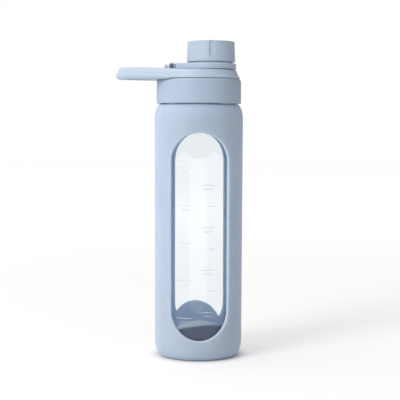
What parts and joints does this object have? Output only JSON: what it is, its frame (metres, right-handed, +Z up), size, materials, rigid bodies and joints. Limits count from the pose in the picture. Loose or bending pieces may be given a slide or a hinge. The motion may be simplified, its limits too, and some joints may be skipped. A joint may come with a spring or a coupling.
{
  "type": "glass water bottle",
  "caption": "Glass water bottle in a windowed silicone sleeve, with a screw lid, carry handle, drinking spout and tethered swing cap.",
  "frame": {"origin": "on the bottle's axis at the flat underside of the base, on the surface it stands on", "axes": "+Z up along the bottle's axis, +X towards the drinking spout, -X towards the carry handle, sleeve windows at -Y and +Y"},
  "size_m": [0.1038, 0.0722, 0.2566],
  "materials": {
    "clear_glass": "clear, polished, with a printed grey volume scale",
    "sleeve_silicone": "matt pale blue moulded silicone",
    "lid_plastic": "satin pale blue moulded plastic",
    "inner_plastic": "satin pale blue-grey moulded plastic",
    "seal_silicone": "matt translucent silicone"
  },
  "bodies": {
    "bottle": {"glass_bottle": "clear_glass", "silicone_sleeve": "sleeve_silicone"},
    "lid_seal": {"lid_gasket": "seal_silicone"},
    "lid": {"lid_collar": "lid_plastic", "lid_core": "inner_plastic", "drinking_spout": "lid_plastic", "carry_handle": "lid_plastic", "hinge_pin": "lid_plastic"},
    "tether": {"cap_tether": "lid_plastic"},
    "cap": {"cap_shell": "lid_plastic", "cap_liner": "inner_plastic", "cap_seal": "seal_silicone"}
  },
  "joints": [
    {"name": "lid_lift", "type": "slide", "parent": "bottle", "child": "lid_seal", "axis": [0, 0, 1], "range_m": [0, 0.018]},
    {"name": "lid_turn", "type": "hinge", "parent": "lid_seal", "child": "lid", "pos_m": [0, 0, 0.215], "axis": [0, 0, 1], "range_deg": [0, 720]},
    {"name": "cap_swing", "type": "hinge", "parent": "lid", "child": "tether", "pos_m": [-0.0222, 0, 0.2364], "axis": [0, -1, 0], "range_deg": [0, 112]},
    {"name": "cap_turn", "type": "hinge", "parent": "tether", "child": "cap", "pos_m": [0.0098, 0, 0.24], "axis": [0, 0, 1], "range_deg": [-90, 0]}
  ],
  "couplings": [
    {"joint": "lid_lift", "follows": "lid_turn", "m_per_rad": 0.0014324}
  ]
}
